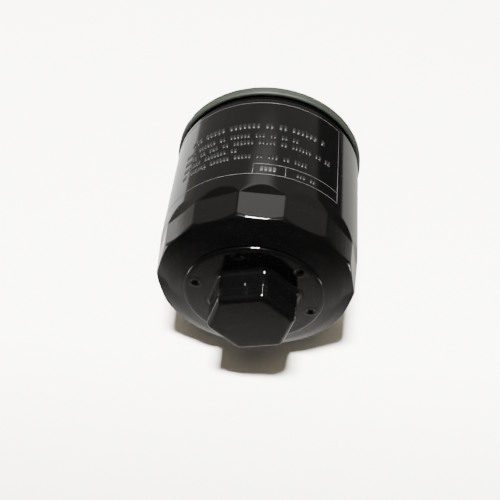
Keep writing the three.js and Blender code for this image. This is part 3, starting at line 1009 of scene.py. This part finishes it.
def ink_patch(turn_a, turn_b, z_a, z_b, step=2.0):
    """Thin raised patch of print on the can, from one turn to another."""
    parts = max(1, math.ceil(abs(turn_b - turn_a) / step))
    turns = [turn_a + (turn_b - turn_a) * i / parts for i in range(parts + 1)]
    verts = []
    for r in (SHELL_R - PRINT_SINK, SHELL_R + PRINT_THICK):
        for z in (z_a, z_b):
            verts += [spot(r, t, z) for t in turns]
    n = parts + 1
    faces = []
    for i in range(parts):
        faces += [[i, i + 1, n + i + 1, n + i],
                  [2 * n + i, 3 * n + i, 3 * n + i + 1, 2 * n + i + 1],
                  [i, 2 * n + i, 2 * n + i + 1, i + 1],
                  [n + i, n + i + 1, 3 * n + i + 1, 3 * n + i]]
    faces += [[0, n, 3 * n, 2 * n], [parts, 2 * n + parts, 3 * n + parts, n + parts]]
    return verts, faces


def block_row(turn_a, turn_b, z, height, dice, width=1.45, gap=0.5):
    """A row of plain blocks in word-like groups, standing in for a line of print."""
    parts = []
    per_mm = 360 / (2 * math.pi * SHELL_R)
    turn = turn_a
    while turn < turn_b:
        for _ in range(dice.randint(2, 7)):
            end = turn + width * per_mm
            if end > turn_b:
                break
            parts.append(ink_patch(turn, end, z - height / 2, z + height / 2))
            turn = end + gap * per_mm
        turn += 1.6 * per_mm
    return parts


def build_print():
    dice = random.Random(7)
    frame_lines = [ink_patch(start, PANEL_EDGE, z - LINE / 2, z + LINE / 2) for start, z in
                   ((PANEL_START, PANEL_LOW), (PANEL_START, PANEL_HIGH), (BOX[0], CELL_LOW))]
    thin = math.degrees(LINE / SHELL_R)
    frame_lines.append(ink_patch(PANEL_EDGE - thin, PANEL_EDGE, PANEL_LOW, PANEL_HIGH))
    for turn in BOX:
        frame_lines.append(ink_patch(turn, turn + thin, CELL_LOW, PANEL_HIGH))
    frame_lines += block_row(-0.5, 9.5, 48.2, 2.4, dice, width=1.15, gap=0.35)
    piece("printed_panel", joined(frame_lines), ink, "root", weighted=False)
    rows = block_row(-48, 38.7, 25.0, 2.9, dice, width=1.35, gap=0.4)
    for z, end in ((30.5, 21), (34.3, 42), (38.1, -15), (41.9, 27)):
        rows += block_row(-52, end, z, 2.3, dice, width=1.0, gap=0.32)
    rows += block_row(20, 33, 48.4, 1.9, dice, width=0.9, gap=0.3)
    piece("printed_rows", joined(rows), faint_ink, "root", weighted=False)


# ------------------------------------------------------------------ studio


def glow_paint(name, colour=(0, 0, 0)):
    """Paint that gives off light and does nothing else."""
    return Paint(name, Base_Color=(0, 0, 0, 1), Roughness=1.0, Specular_IOR_Level=0.0,
                 Emission_Color=(*colour, 1), Emission_Strength=1.0)


def card(name, corners, material, camera=False, glossy=True, diffuse=False, shadow=False):
    """A flat or curved stage surface, with what may see it."""
    mesh = bpy.data.meshes.new(name)
    mesh.from_pydata([[c * MM for c in p] for p in corners[0]], [], corners[1])
    mesh.materials.append(material)
    made = linked(name, mesh)
    made.visible_camera = camera
    made.visible_glossy = glossy
    made.visible_diffuse = diffuse
    made.visible_transmission = False
    made.visible_shadow = shadow


def build_stage():
    turns = [math.pi * k / 48 for k in range(96)]
    table = [(TABLE_RADIUS * math.cos(t), TABLE_RADIUS * math.sin(t), 0) for t in turns]
    card("floor", (table, [list(range(96))]), floor_with_painted_shade(), camera=True, diffuse=True, shadow=True)
    # Painted reflections: glowing cards that only the gloss sees stand in for the lit table and the dimmer
    # room in front and at the sides.
    grey = glow_paint("painted_reflection_grey", (0.42, 0.40, 0.35)).material
    dark = glow_paint("painted_reflection_dark", (0.05, 0.05, 0.047)).material
    cards = [("front_reflection_card", front_reflection_glow(), -CARD_REACH, CARD_REACH, -CARD_REACH, CARD_FRONT),
             ("right_reflection_card", dark, CARD_RIGHT, CARD_REACH, CARD_FRONT, CARD_REACH),
             ("left_reflection_card", grey, -CARD_REACH, CARD_LEFT, CARD_FRONT, CARD_REACH),
             ("table_reflection_card", table_reflection_glow(), CARD_LEFT, CARD_RIGHT, SHADE_BACK, CARD_REACH),
             ("shade_reflection_card", shade_reflection_glow(), -SHADE_HALF, SHADE_HALF, CARD_FRONT, SHADE_BACK)]
    for name, material, x0, x1, y0, y1 in cards:
        corners = [(x, y, CARD_HEIGHT) for x, y in ((x0, y0), (x1, y0), (x1, y1), (x0, y1))]
        card(name, (corners, [[0, 1, 2, 3]]), material)
    rings = []
    for rise in (-1.5, -1.1, -.7, -.35, 0, .2, .4, .7, 1.0, 1.3):
        out, up = BACKDROP_RADIUS * math.cos(rise), BACKDROP_RADIUS * math.sin(rise) - BACKDROP_DROP
        rings.append([(out * math.sin(math.pi * k / 32), out * math.cos(math.pi * k / 32), up)
                      for k in range(64)])
    backdrop = glow_paint("backdrop_white", (2.3, 2.28, 2.2)).material
    card("backdrop", skin(rings), backdrop, camera=True, glossy=False)


def front_reflection_glow():
    """Painted reflection of the table's front part, a glow that only the gloss sees: it fades into the dark
    room.
    """
    paint = glow_paint("painted_reflection_front")
    share = paint.between(paint.along("Y"), 0, 1, -0.20, -0.045)
    paint.tint(share, (0.0, (0.04, 0.04, 0.038)), (0.5, (0.13, 0.127, 0.12)), (0.74, (0.27, 0.265, 0.25)),
               (0.87, (0.50, 0.49, 0.46)), (1.0, (0.88, 0.87, 0.83)), socket="Emission Color")
    return paint.material


def table_reflection_glow():
    """Painted reflection of the table behind the filter, a glow that only the gloss sees: dimmer on the
    right.
    """
    paint = glow_paint("painted_reflection_table")
    share = paint.between(paint.along("X"), 0, 1, 0.0, 0.045)
    paint.tint(share, (0.0, (1.95, 1.94, 1.85)), (1.0, (0.92, 0.91, 0.85)), socket="Emission Color")
    return paint.material


def shade_reflection_glow():
    """Painted reflection of the table next to the filter, a glow that only its closed end mirrors: dimmer at
    the sides.
    """
    paint = glow_paint("painted_reflection_shade")
    across = paint.node("Math", {"operation": "ABSOLUTE"})
    paint.link(paint.along("X"), across.inputs[0])
    share = paint.between(across.outputs[0], 0, 1, 0.028, 0.060)
    near = paint.between(paint.along("Y"), 0, 1, -0.022, -0.012)
    glow = paint.colours(share, [(0.0, (0.88, 0.87, 0.82)), (1.0, (0.33, 0.325, 0.31))])
    mix = paint.node("Mix", {"data_type": "RGBA"}, Factor=near)
    paint.link(glow, mix.inputs["A"])
    mix.inputs["B"].default_value = (1.0, 0.99, 0.94, 1)
    paint.set("Emission Color", mix.outputs["Result"])
    return paint.material


def floor_with_painted_shade():
    """White table with painted shade, darker towards the front where the lamp's light falls off."""
    paint = Paint("floor_white", Roughness=0.6)
    share = paint.between(paint.along("Y"), 0, 1, -0.15, -0.03)
    paint.tint(share, (0.0, (0.27, 0.268, 0.232)), (1.0, (0.88, 0.865, 0.80)))
    return paint.material


def build_world():
    """Dim room: pale wall at the back, dark overhead and in front, and one soft lamp."""
    world = bpy.data.worlds.new("studio")
    bpy.context.scene.world = world
    world.use_nodes = True
    tree = world.node_tree
    place = tree.nodes.new("ShaderNodeTexCoord")
    split = tree.nodes.new("ShaderNodeSeparateXYZ")
    tree.links.new(place.outputs["Generated"], split.inputs[0])

    def within(*limits):
        """1 inside every limit (axis, 0 at, 1 at), with soft edges."""
        product = None
        for axis, none, full in limits:
            share = tree.nodes.new("ShaderNodeMapRange")
            share.interpolation_type = "SMOOTHSTEP"
            share.inputs["From Min"].default_value = none
            share.inputs["From Max"].default_value = full
            tree.links.new(split.outputs[axis], share.inputs["Value"])
            if product is not None:
                both = tree.nodes.new("ShaderNodeMath")
                both.operation = "MULTIPLY"
                tree.links.new(product, both.inputs[0])
                tree.links.new(share.outputs[0], both.inputs[1])
                share = both
            product = share.outputs[0]
        return product

    def painted(under, colour, share):
        mix = tree.nodes.new("ShaderNodeMix")
        mix.data_type = "RGBA"
        tree.links.new(share, mix.inputs["Factor"])
        if isinstance(under, tuple):
            mix.inputs["A"].default_value = (*under, 1)
        else:
            tree.links.new(under, mix.inputs["A"])
        mix.inputs["B"].default_value = (*colour, 1)
        return mix.outputs["Result"]

    room, shade = (0.03, 0.029, 0.028), (0.05, 0.048, 0.045)
    wall, lamp = (0.34, 0.33, 0.30), (1.75, 1.72, 1.62)
    for colour, limits in (
            (wall, [("Y", -0.1, 0.35), ("Z", 0.88, 0.70)]),
            (shade, [("X", 0.48, 0.56), ("Z", 0.30, 0.24)]),
            (shade, [("X", -0.365, -0.39), ("Z", 0.58, 0.62)]),
            (lamp, [("X", -0.28, -0.12), ("X", 0.20, 0.04), ("Z", 0.60, 0.70), ("Z", 0.90, 0.86),
                    ("Y", 0.1, 0.2)])):
        room = painted(room, colour, within(*limits))
    tree.links.new(room, tree.nodes["Background"].inputs["Color"])


def around(azimuth, elevation):
    a, e = math.radians(azimuth), math.radians(elevation)
    return Vector((math.sin(a) * math.cos(e), -math.cos(a) * math.cos(e), math.sin(e)))


def area_lamp(name, shape, size, power, colour):
    lamp = bpy.data.lights.new(name, "AREA")
    lamp.shape = shape
    lamp.size = size * MM
    lamp.energy = power
    lamp.color = colour
    return linked(name, lamp)


def build_lamps():
    key = area_lamp("key", "RECTANGLE", KEY_WIDTH, KEY_POWER, (1.0, 0.99, 0.965))
    key.data.size_y = KEY_DEPTH * MM
    direction = around(KEY_AZIMUTH, KEY_ELEVATION)
    key.location = Vector((0, 0, AXIS_Z)) + direction * KEY_DISTANCE * MM
    key.rotation_mode = "QUATERNION"
    turned_by = Quaternion((0, 0, 1), math.radians(KEY_TURN))
    key.rotation_quaternion = turned_by @ (-direction).to_track_quat("-Z", "Y")
    fill = area_lamp("fill", "DISK", FILL_SIZE, FILL_POWER, (1.0, 0.80, 0.58))
    fill.location = (0, 0, FILL_HEIGHT * MM)
    fill.visible_glossy = False


def build_camera():
    data = bpy.data.cameras.new("camera")
    data.lens = CAMERA_LENS
    data.sensor_width = 36
    data.clip_start = 0.01
    data.clip_end = 30
    made = linked("camera", data)
    back = around(CAMERA_AZIMUTH, CAMERA_ELEVATION)
    made.location = (Vector(CAMERA_AIM) + back * CAMERA_DISTANCE) * MM
    made.rotation_mode = "QUATERNION"
    made.rotation_quaternion = (-back).to_track_quat("-Z", "Y")
    bpy.context.scene.camera = made


build_camera()
build_world()
build_lamps()
build_stage()
build_shell()
build_hex_cap()
build_lid()
build_gasket()
build_base_plate()
build_drainback_valve()
build_end_cap("base_end_cap_pressed", "base_end_cap", 1)
build_end_cap("dome_end_cap_pressed", "dome_end_cap", -1)
build_potting("base_potting", "base_end_potting")
build_potting("dome_potting", "dome_end_potting")
build_centre_tube()
build_media()
build_clip()
build_bypass()
build_cage()
build_springs()
build_print()
